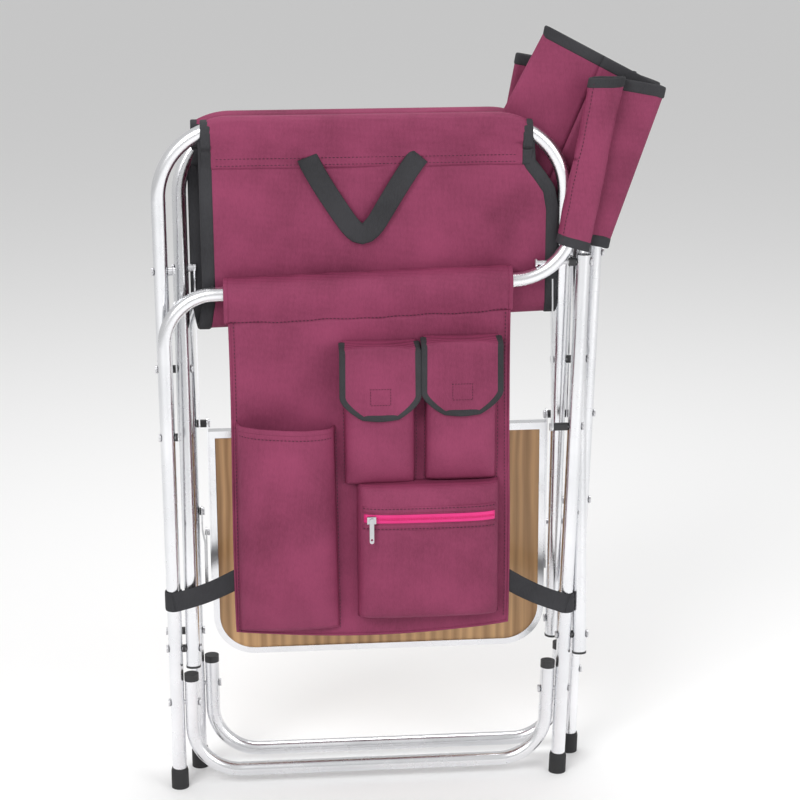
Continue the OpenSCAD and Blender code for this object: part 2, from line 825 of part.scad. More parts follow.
// A crease is [u at the top edge, tilt of the line, side of the cloth that its axis lies on].
function crease_u(c, w) = c[0] + (w - back_top) * tan(c[1]);
crease_1 = [u_1, fold_tilt, (plane_2 - plane_1) / 2];
crease_2 = [u_2, 0, -(plane_3 - plane_2) / 2];
crease_3 = [u_3, -fold_tilt, (plane_4 - plane_3) / 2];
crease_4 = [u_4, 0, (plane_4 - plane_5) / 2];

// Half turn about a crease of the flat cloth, which lies in the plane y = plane_1.
module folded(c) {
    q = [c[0], plane_1 + c[2], back_top];
    translate(q) rotate(a = 180, v = [sin(c[1]), 0, cos(c[1])]) translate(-q) children();
}

module cloth(c0, c1) {
    color(maroon)
        translate([0, plane_1 + cloth_thick / 2, 0])
            rotate([90, 0, 0])
                linear_extrude(cloth_thick)
                    polygon([[crease_u(c0, back_low) + crease, back_low], [crease_u(c1, back_low) - crease, back_low],
                             [crease_u(c1, back_top) - crease, back_top], [crease_u(c0, back_top) + crease, back_top]]);
}

near_edge = [post_sleeve_w / 2 + post_sleeve_u + 0.5, 0, 0];
far_edge = [back_len - post_sleeve_w / 2 - 40, 0, 0];

module back_panel_1() post_frame() cloth(near_edge, crease_1);
module back_panel_2() post_frame() folded(crease_1) cloth(crease_1, crease_2);
module back_panel_3() post_frame() folded(crease_1) folded(crease_2) cloth(crease_2, crease_3);
module back_panel_4()
    post_frame() folded(crease_1) folded(crease_2) folded(crease_3) cloth(crease_3, crease_4);
module back_panel_5()
    post_frame() folded(crease_1) folded(crease_2) folded(crease_3) folded(crease_4)
        cloth(crease_4, far_edge);

module far_side() translate([far_x, far_y, 0]) children();

// ---------- nodes ----------

place() side_tube();  // near_side_tube
place() rear_leg();  // near_rear_leg
place() base_bar();  // near_base_bar
place() feet();  // near_feet
place() bar_plugs();  // near_bar_plugs
place() frame_rivets();  // near_frame_rivets
place() near_pivot_rivets();
place() near_spacers();
place() arm_pad(pad_hem);  // near_arm_pad
place() organiser_panel();
place() bottle_pocket();
place() phone_pocket_front();
place() phone_pocket_rear();
place() zip_pocket();
place() zipper_tape();
place() tie_strap_front();
place() tie_strap_rear();
place() post_sleeve();  // near_post_sleeve
place() phone_flap_front();
place() phone_flap_rear();
place() zip_slider();
place() zip_pull();
place() near_link_front();
place() near_link_rear();
place() far_rail_tube();
place() far_rail_plugs();
place() centre_rivets();
place() centre_spacers();
place() far_link_studs();
place() near_rail_tube();
place() near_rail_plugs();
place() near_link_studs();
place() far_side() side_tube();  // far_side_tube
place() far_side() rear_leg();  // far_rear_leg
place() far_side() base_bar();  // far_base_bar
place() far_side() feet();  // far_feet
place() far_side() bar_plugs();  // far_bar_plugs
place() far_side() frame_rivets();  // far_frame_rivets
place() far_pivot_rivets();
place() far_spacers();
place() far_side() mirror([0, 1, 0]) arm_pad(26);  // far_arm_pad
place() far_side() post_sleeve();  // far_post_sleeve
place() far_link_front();
place() far_link_rear();
place() table_board();
place() table_rim();
place() table_side_rails();
place() table_brace_rivets();
place() upper_braces();
place() lower_braces();
place() seat_near();
place() seat_far();
place() carry_handle_near();
place() carry_handle_far();
place() back_panel_1();
place() back_panel_2();
place() back_panel_3();
place() back_panel_4();
place() back_panel_5();
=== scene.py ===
import bpy, json, math
from mathutils import Vector, Matrix

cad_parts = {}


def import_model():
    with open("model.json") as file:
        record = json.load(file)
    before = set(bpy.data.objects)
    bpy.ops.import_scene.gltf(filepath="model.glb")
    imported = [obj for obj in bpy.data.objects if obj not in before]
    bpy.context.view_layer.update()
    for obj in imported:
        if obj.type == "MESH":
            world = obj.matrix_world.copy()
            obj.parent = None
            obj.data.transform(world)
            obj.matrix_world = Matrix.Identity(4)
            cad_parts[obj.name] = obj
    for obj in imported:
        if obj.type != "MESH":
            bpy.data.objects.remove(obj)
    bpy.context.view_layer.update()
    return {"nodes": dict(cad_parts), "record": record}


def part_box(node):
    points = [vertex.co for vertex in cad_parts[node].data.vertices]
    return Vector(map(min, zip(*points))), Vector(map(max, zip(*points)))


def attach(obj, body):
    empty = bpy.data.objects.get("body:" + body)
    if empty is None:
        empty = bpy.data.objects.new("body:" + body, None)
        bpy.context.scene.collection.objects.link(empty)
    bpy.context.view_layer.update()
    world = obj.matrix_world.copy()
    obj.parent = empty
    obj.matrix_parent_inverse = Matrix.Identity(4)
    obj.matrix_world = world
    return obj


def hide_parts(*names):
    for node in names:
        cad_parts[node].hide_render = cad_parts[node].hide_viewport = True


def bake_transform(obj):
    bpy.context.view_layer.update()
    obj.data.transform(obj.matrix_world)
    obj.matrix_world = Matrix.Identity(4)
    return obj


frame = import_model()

# ---- shared frame: drawing coordinates (mm from the near front leg's axis) to metres
_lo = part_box("near_side_tube")[0]
OX, OY = _lo.x + 0.008, _lo.y + 0.008

def P(x, y, z):
    return Vector((OX + x / 1000, OY + y / 1000, z / 1000))

MM = 0.001

def sin(d):
    return math.sin(math.radians(d))

def cos(d):
    return math.cos(math.radians(d))

# ---- materials
def mat(name):
    m = bpy.data.materials.new(name)
    m.use_nodes = True
    return m, m.node_tree, m.node_tree.nodes["Principled BSDF"]

def nd(t, kind, **kw):
    n = t.nodes.new(kind)
    for k, v in kw.items():
        if k in n.inputs:
            n.inputs[k].default_value = v
        else:
            setattr(n, k, v)
    return n

def ramp(t, fac, c0, c1, p0=0.0, p1=1.0):
    r = t.nodes.new("ShaderNodeValToRGB")
    e = r.color_ramp.elements
    e[0].color, e[1].color, e[0].position, e[1].position = (*c0, 1), (*c1, 1), p0, p1
    t.links.new(fac, r.inputs[0])
    return r.outputs[0]

def bump(t, b, h, strength, dist, prev=None):
    n = nd(t, "ShaderNodeBump", Strength=strength, Distance=dist)
    t.links.new(h, n.inputs["Height"])
    if prev:
        t.links.new(prev, n.inputs["Normal"])
    t.links.new(n.outputs[0], b.inputs["Normal"])
    return n.outputs[0]

def coords(t, scale=(1, 1, 1), rot=(0, 0, 0)):
    c = nd(t, "ShaderNodeTexCoord")
    m = nd(t, "ShaderNodeMapping")
    m.inputs["Scale"].default_value = scale
    m.inputs["Rotation"].default_value = rot
    t.links.new(c.outputs["Object"], m.inputs[0])
    return m.outputs[0]

def weave(name, dark, light, pitch=1500.0, depth=0.35, rough=0.72, sheen=0.35):
    """Plain weave: two crossed thread waves, with slow shade and wrinkle noise."""
    m, t, b = mat(name)
    L = t.links
    w = []
    for rot in ((0, 0, 0), (0, math.radians(90), 0)):
        n = nd(t, "ShaderNodeTexWave", wave_type="BANDS", bands_direction="X", Scale=pitch / 6.2832,
               Distortion=0.6)
        n.inputs["Detail"].default_value = 1.0
        L.new(coords(t, rot=rot), n.inputs["Vector"])
        w.append(n.outputs["Fac"])
    mx = nd(t, "ShaderNodeMath", operation="MULTIPLY")
    L.new(w[0], mx.inputs[0])
    L.new(w[1], mx.inputs[1])
    slow = nd(t, "ShaderNodeTexNoise", Scale=14.0, Detail=4.0)
    L.new(coords(t), slow.inputs["Vector"])
    fine = nd(t, "ShaderNodeTexNoise", Scale=900.0, Detail=2.0)
    L.new(coords(t, scale=(1, 1, 0.25)), fine.inputs["Vector"])
    a = nd(t, "ShaderNodeMath", operation="MULTIPLY_ADD")
    L.new(mx.outputs[0], a.inputs[0])
    a.inputs[1].default_value = 0.62
    L.new(slow.outputs["Fac"], a.inputs[2])
    a2 = nd(t, "ShaderNodeMath", operation="MULTIPLY_ADD")
    L.new(fine.outputs["Fac"], a2.inputs[0])
    a2.inputs[1].default_value = 0.35
    L.new(a.outputs[0], a2.inputs[2])
    L.new(ramp(t, a2.outputs[0], dark, light, 0.35, 1.15), b.inputs["Base Color"])
    n1 = bump(t, b, slow.outputs["Fac"], 0.35, 0.004)
    bump(t, b, mx.outputs[0], depth, 0.0004, n1)
    b.inputs["Roughness"].default_value = rough
    b.inputs["Sheen Weight"].default_value = sheen
    b.inputs["Sheen Roughness"].default_value = 0.4
    b.inputs["Sheen Tint"].default_value = (*light, 1)
    b.inputs["Specular IOR Level"].default_value = 0.3
    return m

def metal(name, c0, c1, rough=0.22):
    m, t, b = mat(name)
    n = nd(t, "ShaderNodeTexNoise", Scale=1.0, Detail=5.0)
    t.links.new(coords(t, scale=(40, 40, 40)), n.inputs["Vector"])
    s = nd(t, "ShaderNodeTexNoise", Scale=9.0, Detail=3.0)
    t.links.new(coords(t), s.inputs["Vector"])
    t.links.new(ramp(t, s.outputs["Fac"], c0, c1, 0.3, 0.7), b.inputs["Base Color"])
    r = nd(t, "ShaderNodeMapRange")
    r.inputs["To Min"].default_value = rough - 0.06
    r.inputs["To Max"].default_value = rough + 0.14
    t.links.new(n.outputs["Fac"], r.inputs[0])
    t.links.new(r.outputs[0], b.inputs["Roughness"])
    bump(t, b, n.outputs["Fac"], 0.02, 0.0001)
    b.inputs["Metallic"].default_value = 1.0
    return m

def plastic(name, c0, c1, rough=0.5, grain=700.0):
    m, t, b = mat(name)
    n = nd(t, "ShaderNodeTexNoise", Scale=grain, Detail=3.0)
    t.links.new(coords(t), n.inputs["Vector"])
    s = nd(t, "ShaderNodeTexNoise", Scale=25.0, Detail=3.0)
    t.links.new(coords(t), s.inputs["Vector"])
    t.links.new(ramp(t, s.outputs["Fac"], c0, c1), b.inputs["Base Color"])
    bump(t, b, n.outputs["Fac"], 0.15, 0.0003)
    b.inputs["Roughness"].default_value = rough
    return m

def wood(name):
    m, t, b = mat(name)
    L = t.links
    n = nd(t, "ShaderNodeTexNoise", Scale=1.0, Detail=8.0, Distortion=0.6)
    L.new(coords(t, scale=(120, 120, 3.5)), n.inputs["Vector"])
    w = nd(t, "ShaderNodeTexWave", wave_type="BANDS", bands_direction="X", Scale=5.0, Distortion=7.0)
    w.inputs["Detail"].default_value = 3.0
    L.new(coords(t, scale=(5, 5, 0.7)), w.inputs["Vector"])
    a = nd(t, "ShaderNodeMath", operation="MULTIPLY_ADD")
    L.new(w.outputs["Fac"], a.inputs[0])
    a.inputs[1].default_value = 0.35
    L.new(n.outputs["Fac"], a.inputs[2])
    L.new(ramp(t, a.outputs[0], (0.30, 0.155, 0.06), (0.62, 0.37, 0.17), 0.3, 0.95),
          b.inputs["Base Color"])
    bump(t, b, n.outputs["Fac"], 0.12, 0.0004)
    b.inputs["Roughness"].default_value = 0.42
    b.inputs["Coat Weight"].default_value = 0.15
    return m

PLUM = weave("plum_polyester", (0.085, 0.008, 0.028), (0.265, 0.042, 0.105))
BLACK = weave("black_binding", (0.006, 0.006, 0.007), (0.045, 0.045, 0.05), pitch=1900, depth=0.6,
              rough=0.8, sheen=0.2)
THREAD = weave("dark_thread", (0.02, 0.006, 0.012), (0.09, 0.02, 0.045), pitch=3000, rough=0.7,
               sheen=0.1)
PINK = plastic("zip_tape_pink", (0.55, 0.01, 0.13), (0.78, 0.03, 0.24), 0.6, 1800)
ALU = metal("polished_aluminium", (0.74, 0.75, 0.77), (0.90, 0.90, 0.92))
STEEL = metal("rivet_steel", (0.52, 0.52, 0.54), (0.72, 0.72, 0.74), 0.3)
PLA = plastic("black_moulded", (0.012, 0.012, 0.013), (0.03, 0.03, 0.032), 0.45)
RUB = plastic("black_rubber", (0.010, 0.010, 0.011), (0.026, 0.026, 0.027), 0.75, 350)
WOOD = wood("wood_laminate")
BY_SLOT = {"polished_tube": ALU, "black_plastic": PLA, "rubber": RUB, "rivet_steel": STEEL,
           "plum_fabric": PLUM, "black_webbing": BLACK, "zip_pink": PINK, "wood": WOOD}
for s in frame["record"]["subparts"]:
    o = frame["nodes"][s["node"]]
    o.data.materials.clear()
    o.data.materials.append(BY_SLOT[s["material_slot"]])

# ---- mesh helpers
def obj(name, verts, faces, material):
    me = bpy.data.meshes.new(name)
    me.from_pydata([tuple(v) for v in verts], [], faces)
    me.update()
    me.polygons.foreach_set("use_smooth", [True] * len(me.polygons))
    o = bpy.data.objects.new(name, me)
    bpy.context.scene.collection.objects.link(o)
    me.materials.append(material)
    return o

def noise(x, z, s=1.0, seed=0.0):
    """Smooth wrinkle height at x, z (mm), about -1.8 to 1.8."""
    return (math.sin(x * 0.031 * s + seed) * math.sin(z * 0.043 * s + 1.7 * seed)
            + 0.5 * math.sin(x * 0.083 * s + z * 0.027 * s + 2.1 * seed)
            + 0.3 * math.sin(z * 0.11 * s - x * 0.05 * s + seed))

def apply_all(o):
    dg = bpy.context.evaluated_depsgraph_get()
    me = bpy.data.meshes.new_from_object(o.evaluated_get(dg))
    o.modifiers.clear()
    o.data = me
    return o

def cloth(name, f, nu, nv, thick):
    """Plum cloth, thick mm thick, over f(u, v) -> point in metres."""
    vs = [f(i / nu, j / nv) for j in range(nv + 1) for i in range(nu + 1)]
    fs = [(j * (nu + 1) + i, j * (nu + 1) + i + 1, (j + 1) * (nu + 1) + i + 1, (j + 1) * (nu + 1) + i)
          for j in range(nv) for i in range(nu)]
    o = obj(name, vs, fs, PLUM)
    m = o.modifiers.new("t", "SOLIDIFY")
    m.thickness = thick * MM
    m.offset = 0
    apply_all(o)
    o.data.polygons.foreach_set("use_smooth", [True] * len(o.data.polygons))
    return o

def sweep(name, pts, side, w, t, material, bulge=0.35):
    """Flat webbing of width w (along side) and thickness t along pts (metres)."""
    n = len(pts)
    sec = []
    for k in range(10):
        a = 2 * math.pi * k / 10
        ca, sa = math.cos(a), math.sin(a)
        sec.append((math.copysign(abs(ca) ** bulge, ca) * w / 2 * MM,
                    math.copysign(abs(sa) ** 0.8, sa) * t / 2 * MM))
    vs, fs = [], []
    for i, p in enumerate(pts):
        d = (pts[min(i + 1, n - 1)] - pts[max(i - 1, 0)]).normalized()
        s = side(i) if callable(side) else side
        s = (s - d * s.dot(d)).normalized()
        u = d.cross(s)
        vs += [p + s * a + u * b for a, b in sec]
    m = len(sec)
    for i in range(n - 1):
        fs += [(i * m + k, i * m + (k + 1) % m, (i + 1) * m + (k + 1) % m,
                (i + 1) * m + k) for k in range(m)]
    fs += [tuple(range(m))[::-1], tuple((n - 1) * m + k for k in range(m))]
    return obj(name, vs, fs, material)

def stitches(name, pts, out, material=THREAD, pitch=4.2, length=2.7, r=0.45):
    """Thread dashes lying along a polyline, each a small six-sided spindle."""
    vs, fs = [], []
    acc = 0.0
    for a, b in zip(pts[:-1], pts[1:]):
        seg = (b - a).length / MM
        if seg < 1e-6:
            continue
        d = (b - a).normalized()
        s = d.cross(out).normalized()
        while acc < seg:
            c = a + d * acc * MM
            k0 = len(vs)
            for q, rr in ((0, 0.25), (0.25, 1), (0.75, 1), (1, 0.25)):
                for k in range(6):
                    an = math.pi * k / 3
                    vs.append(c + d * (q - 0.5) * length * MM
                              + (s * math.cos(an) + out * math.sin(an)) * r * rr * MM)
            for q in range(3):
                fs += [(k0 + q * 6 + k, k0 + q * 6 + (k + 1) % 6, k0 + (q + 1) * 6 + (k + 1) % 6,
                        k0 + (q + 1) * 6 + k) for k in range(6)]
            fs += [tuple(k0 + k for k in range(6))[::-1], tuple(k0 + 18 + k for k in range(6))]
            acc += pitch
        acc -= seg
    return obj(name, vs, fs, material)

# ---- seat: one U of padded cloth between the rails
# folded and open gap between the side frames, scissor leg below and above its centre pivot,
# height of its lower pivot, seat sag, and how far back the far side sits (mm)
W, OPEN_W, LEG_LOW, RA, PIVOT_Z, SAG, FAR_DX = 56.0, 560.0, 323.0, 274.0, 171, 30, 23
TH0 = math.degrees(math.asin(W / 2 / LEG_LOW))
RY, RZ = W / 2 - RA * sin(TH0), PIVOT_Z + (LEG_LOW + RA) * cos(TH0)
HS = RA * sin(math.degrees(math.asin(OPEN_W / 2 / LEG_LOW)))
SL = math.hypot(HS, SAG)
ST = math.degrees(math.asin((W / 2 - RY) / SL))
def side_x(v):
    """Rear edge of the seat by depth below the rail."""
    pts = [(0, 400), (30, 400.5), (46, 402), (60, 413), (76, 424), (98, 428), (300, 429)]
    for (a, xa), (b, xb) in zip(pts, pts[1:]):
        if v <= b:
            return xa + (xb - xa) * (v - a) / (b - a)
    return 429

# the seat's middle, half way between the side frames, and the radius of its bottom fold
MID, UR = W / 2, 9.0
def seat_path(s):
    """s 0..1 from near rail, round the bottom, to the far rail: (y, z, depth)."""
    run = SL - 14 - UR
    total = 2 * (run - 12) + math.pi * UR
    d = s * total
    if d < run - 12:
        v = 12 + d
        return RY + v * sin(ST) * (MID - UR - RY) / (MID - RY), RZ - v * cos(ST), v
    d -= run - 12
    if d < math.pi * UR:
        a = d / UR
        return MID - UR * math.cos(a), RZ - run * cos(ST) - UR * math.sin(a), run + 6
    d -= math.pi * UR
    v = run - d
    return W - RY - v * sin(ST) * (MID - UR - RY) / (MID - RY), RZ - v * cos(ST), v

def seat_point(u, s):
    y, z, v = seat_path(s)
    x0 = 51 - 13 * max(0, min(1, (s - 0.42) / 0.16))
    x1 = side_x(v)
    x = x0 + (x1 - x0) * u
    y += 1.0 * noise(x, z, 0.8, 2) * math.sin(math.pi * u) * (1 if s < .5 else -1)
    z += 11 * u * math.sin(math.pi * s) ** 6
    return P(x, y, z)

seat = cloth("seat_cloth", seat_point, 60, 110, 5.5)
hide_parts("seat_near", "seat_far")
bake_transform(seat)
for k, u in (("front", 0.0), ("rear", 1.0)):
    pts = [seat_point(u, i / 120) + Vector(((-1 if u == 0 else 1) * 0.001, 0, 0)) for i in range(121)]
    b = sweep("seat_binding_" + k, pts, Vector((1, 0, 0)), 15, 8.2, BLACK)
    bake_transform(b)

def rail_sleeve(tag, body, yc, sgn, x0, x1):
    """Hem round a seat rail: a flattened tube, sewn shut 45 mm down."""
    def f(u, v):
        x = x0 + (x1 - x0) * u
        prof = [(-4.3, -47), (-5.2, -38), (-7.2, -25), (-9.3, -12), (-10, -2), (-8.2, 6), (-4, 9.6),
                (0, 10.2), (4, 9.6), (8.2, 6), (10, -2), (9.3, -12), (7.2, -25), (5.2, -38), (4.3, -47)]
        t = v * (len(prof) - 1)
        i = min(int(t), len(prof) - 2)
        r = t - i
        a, h = (prof[i][0] * (1 - r) + prof[i + 1][0] * r, prof[i][1] * (1 - r) + prof[i + 1][1] * r)
        drop = max(0, 78 - x, x - 363)
        h -= (80 - math.sqrt(6400 - min(drop, 60) ** 2)) if h > -20 else 0
        a += 0.35 * noise(x, h * 6, 1.5, sgn) * (1 if a > 0 else -1)
        q = sgn * ST
        return P(x, yc + a * cos(q) - h * sin(q), RZ + a * sin(q) + h * cos(q))
    o = cloth("rail_sleeve_" + tag, f, 70, 42, 1.2)
    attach(o, body)
    for k, x in (("a", x0), ("b", x1)):
        pts = [f((x - x0) / (x1 - x0), j / 40) for j in range(41)]
        e = sweep(f"sleeve_end_{tag}_{k}", pts, Vector((1, 0, 0)), 11, 2.6, BLACK)
        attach(e, body)
    for k, v in enumerate((0.03, 0.085)):
        for face in (0, 1):
            vv = v if face == 0 else 1 - v
            out = Vector((0, -1 if face == 0 else 1, 0))
            s = stitches(f"sleeve_stitch_{tag}_{k}_{face}",
                         [f(i / 60, vv) + out * 0.0006 for i in range(2, 59)], out)
            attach(s, body)

rail_sleeve("near", "seat_near", RY, 1, 51, 400)
rail_sleeve("far", "seat_far", W - RY, -1, 40, 400)

def handle(tag, body, yc, sgn):
    """Webbing carry loop sewn under the rail sleeve."""
    a, b = (160, 731), (282, 731)
    pts = []
    for k in range(41):
        t = k / 40
        if t < 0.42:
            q = t / 0.42
            x, z = a[0] + (203 - a[0]) * q ** 1.15, a[1] + (658 - a[1]) * q
        elif t > 0.58:
            q = (1 - t) / 0.42
            x, z = b[0] + (235 - b[0]) * q ** 0.9, b[1] + (658 - b[1]) * q
        else:
            q = (t - 0.42) / 0.16
            x, z = 203 + 32 * q, 658 - 13 * math.sin(math.pi * q)
        y = yc + sgn * (6.8 + 5.0 * math.sin(math.pi * t))
        y += -sgn * (RZ - z) * sin(ST)
        pts.append(P(x, y, z))
    def side(i):
        t = max(0, min(1, (i / 40 - 0.42) / 0.16))
        an = -0.45 + (math.pi + 0.9) * t
        return Vector((math.cos(an), 0, math.sin(an)))
    o = sweep("carry_loop_" + tag, pts, side, 23, 1.8, BLACK)
    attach(o, body)
    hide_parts("carry_handle_" + tag)

handle("near", "handle_near", RY, -1)
handle("far", "handle_far", W - RY, 1)

# ---- arm sleeves
RISE = 1.5

def arm_z(x):
    return 581 + x * math.tan(math.radians(RISE))

def arm_sleeve(tag, body, x_off, yc, sgn, node, hem):
    prof = [(-11.8, -hem), (-13.2, -hem + 6), (-15.3, -18), (-16.8, -7), (-16.2, 4), (-12, 12),
            (-5, 16.4), (2, 16.8), (9, 13.8), (14, 7), (15.6, -2), (12.5, -11), (4, -17), (-5, -21),
            (-9.2, -hem)]
    def f(u, v):
        x = 68 + 313 * u
        t = v * (len(prof) - 1)
        i = min(int(t), len(prof) - 2)
        r = t - i
        r = r * r * (3 - 2 * r) * 0.3 + r * 0.7
        a, h = (prof[i][0] * (1 - r) + prof[i + 1][0] * r, prof[i][1] * (1 - r) + prof[i + 1][1] * r)
        k = 1 + 0.02 * noise(x, 40 * v, 2.0, 3)
        lump = 1 - 0.05 * (abs(2 * u - 1) ** 4)
        return P(x + x_off, yc + sgn * a * k * lump, arm_z(x) + h * k * lump)
    o = cloth("arm_sleeve_" + tag, f, 60, 44, 1.2)
    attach(o, body)
    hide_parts(node)
    for k, u in (("a", 0.0), ("b", 1.0)):
        e = sweep(f"arm_end_{tag}_{k}", [f(u, j / 40) for j in range(41)], Vector((1, 0, 0)), 5, 2.2,
                  PLUM)
        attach(e, body)
    out = Vector((0, -sgn, 0))
    s = stitches("arm_stitch_" + tag, [f(i / 60, 0.02) + out * 0.0012 for i in range(1, 60)], out)
    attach(s, body)

arm_sleeve("near", "near_frame", 0, 0, 1, "near_arm_pad", 33)
arm_sleeve("far", "far_frame", FAR_DX, W, -1, "far_arm_pad", 26)

# ---- organiser
PY = -13.0

def panel(u, v):
    x = 71 + 309 * u
    top = arm_z(x) - 31
    low = 194 - 9 * math.sin(math.pi * u) + 10 * max(0, u - 0.9)
    z = low + (top - low) * v
    return P(x + 1.5 * math.sin(v * 6) * (u - 0.5),
             PY + 1.4 + 0.9 * noise(x, z, 0.9, 1) * v * (1 - v) * 4, z)

pan = cloth("organiser_cloth", panel, 60, 70, 2.2)
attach(pan, "near_frame")
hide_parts("organiser_panel")
edge = ([panel(0, 1 - i / 40) for i in range(41)] + [panel(i / 40, 0) for i in range(1, 41)]
        + [panel(1, i / 40) for i in range(1, 41)])
e = sweep("organiser_edge", edge, Vector((0, 1, 0)), 3.4, 3.0, PLUM, 0.9)
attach(e, "near_frame")
st = [p + Vector((0, -0.0022, 0)) for p in edge]
SEAM_IN = 4.5

def inset(p):
    """Move a seam point from the panel's side edge inwards."""
    cx = P(225, 0, 0).x
    d = SEAM_IN * MM if p.x < cx else -SEAM_IN * MM
    return Vector((p.x + d, p.y, p.z))

s = stitches("organiser_stitch", [inset(p) for p in st[:41]], Vector((0, -1, 0)))
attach(s, "near_frame")
s = stitches("organiser_stitch_rear", [inset(p) for p in st[-40:]], Vector((0, -1, 0)))
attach(s, "near_frame")

def pocket(name, x0, x1, z0, z1, depth, node, skew=0.0, power=2.6, seed=1, rim=True):
    """Bellied pouch sewn to the panel on three sides, open at the top."""
    def f(u, v):
        bu = (1 - abs(2 * u - 1) ** power) ** (1 / power)
        bv = math.sin(min(1, v * 4.2) * math.pi / 2)
        d = depth * bu * (0.30 + 0.70 * bv)
        x = x0 + (x1 - x0) * u + skew * (1 - v) * (u - 0.3)
        z = z0 + (z1 - z0) * v
        z += 3.0 * (u - 0.5) * -2 * (v ** 3) * (1 if skew else 0)
        d += (1.1 * noise(x, z, 1.3, seed)) * bu * min(1, 3 * v)
        return P(x, PY - max(0.4, d), z)
    o = cloth(name, f, 44, 52, 1.5)
    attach(o, "near_frame")
    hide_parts(node)
    if rim:
        r = sweep(name + "_rim", [f(i / 40, 1.0) for i in range(41)], Vector((0, 0, 1)), 6, 2.6, PLUM)
        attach(r, "near_frame")
        q = stitches(name + "_hem", [f(i / 60, 0.965) + Vector((0, -0.0012, 0)) for i in range(2, 59)],
                     Vector((0, -1, 0)))
        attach(q, "near_frame")
    for k, u in (("a", 0.015), ("b", 0.985)):
        beside = Vector((-0.003 if u < .5 else 0.003, -0.0008, 0))
        q = stitches(f"{name}_side_{k}", [f(u, i / 40) + beside for i in range(41)], Vector((0, -1, 0)))
        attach(q, "near_frame")

pocket("bottle_pouch", 76, 184, 197, 434, 30, "bottle_pocket", skew=4.0, power=2.2, seed=4)
pocket("phone_pouch_front", 196, 273, 367, 526, 22, "phone_pocket_front", power=3.2, seed=2, rim=False)
pocket("phone_pouch_rear", 286, 364, 370, 530, 22, "phone_pocket_rear", power=3.2, seed=6, rim=False)

def flap(name, body, x0, x1, top, node, tip):
    """Cover flap: from the panel over the pouch mouth and down its front, edged in black."""
    w = x1 - x0
    def outline(v):
        """Half width by the share of the flap's length, 0 at the panel."""
        if v < 0.74:
            return w / 2 * (0.985 + 0.015 * v)
        q = (v - 0.74) / 0.26
        return w / 2 * (1 - 0.55 * q ** 1.7)
    def f(u, v):
        c = (x0 + x1) / 2
        hw = outline(v)
        x = c + (2 * u - 1) * hw
        run = 24 + (top - tip)
        d = v * run
        crown = (1 - abs(2 * u - 1) ** 2.6)
        if d < 24:
            y = PY - 1 - d * (0.8 + 0.2 * crown)
            z = top + 2.5 - (d / 24) ** 2 * 2.5 - 3.0 * (1 - crown) * (d / 24)
        else:
            y = PY - 24.5 - 1.6 * crown + 1.2 * (1 - crown)
            z = top - (d - 24) - 3.0 * (1 - crown)
        return P(x, y, z + (4.0 * (abs(2 * u - 1) ** 2.0)) * max(0, v - 0.7) / 0.3)
    o = cloth(name, f, 30, 44, 1.4)
    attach(o, body)
    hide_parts(node)
    e = ([f(0, j / 40) for j in range(3, 41)] + [f(i / 24, 1) for i in range(1, 24)]
         + [f(1, 1 - j / 40) for j in range(0, 38)])
    b = sweep(name + "_binding", e, Vector((0, 1, 0)), 3.2, 8.0, BLACK, 0.9)
    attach(b, body)
    out = Vector((0, -1, 0))
    bx = (x0 + x1) / 2
    patch = [P(bx - 11, PY - 26.9, tip + 33), P(bx + 11, PY - 26.9, tip + 33),
             P(bx + 11, PY - 26.9, tip + 15), P(bx - 11, PY - 26.9, tip + 15),
             P(bx - 11, PY - 26.9, tip + 33)]
    q = stitches(name + "_tab_stitch", patch, out, pitch=3.2, length=2.2, r=0.35)
    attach(q, body)

flap("flap_front_cloth", "flap_front", 193, 276, 527, "phone_flap_front", 447)
flap("flap_rear_cloth", "flap_rear", 283, 367, 531, "phone_flap_rear", 451)

def zfront(u, z):
    """The zip pocket's front at u across and height z, without wrinkles along the zip."""
    bu = (1 - abs(2 * u - 1) ** 4.0) ** 0.25
    v = (z - 209) / 159
    bv = (1 - abs(2 * v - 1) ** 5) ** 0.2
    x = 209 + 159 * u
    wrinkle = 0.7 * noise(x, z, 1.2, 5) * bu * bv * (0 if 318 < z < 344 else 1)
    return P(x, PY - max(0.5, 27.6 * bu * bv + wrinkle), z)

def zip_line(u0, span, z, n, out):
    """n + 1 points across the zip pocket's front at height z, out metres in front of it."""
    return [zfront(u0 + span * i / n, z) + Vector((0, -out, 0)) for i in range(n + 1)]

zp = cloth("zip_pouch", lambda u, v: zfront(u, 209 + 159 * v), 48, 60, 1.4)
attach(zp, "near_frame")
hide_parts("zip_pocket")
for k, z in (("top", 341), ("low", 321)):
    q = sweep("zip_welt_" + k, zip_line(0.03, 0.94, z, 40, 0.0004), Vector((0, 0, 1)), 7, 2.2,
              PLUM)
    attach(q, "near_frame")
    seam = zip_line(0.04, 0.92, z + (1.5 if k == "top" else -1.5), 40, 0.0019)
    q = stitches("zip_welt_stitch_" + k, seam, Vector((0, -1, 0)))
    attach(q, "near_frame")
tape = sweep("zip_tape", zip_line(0.04, 0.92, 331, 60, 0.0012), Vector((0, 0, 1)), 10, 1.6,
             PINK)
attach(tape, "near_frame")
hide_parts("zipper_tape")
q = stitches("zip_teeth", zip_line(0.045, 0.91, 331, 60, 0.0019), Vector((0, -1, 0)),
             material=PINK, pitch=1.9, length=1.1, r=1.5)
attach(q, "near_frame")

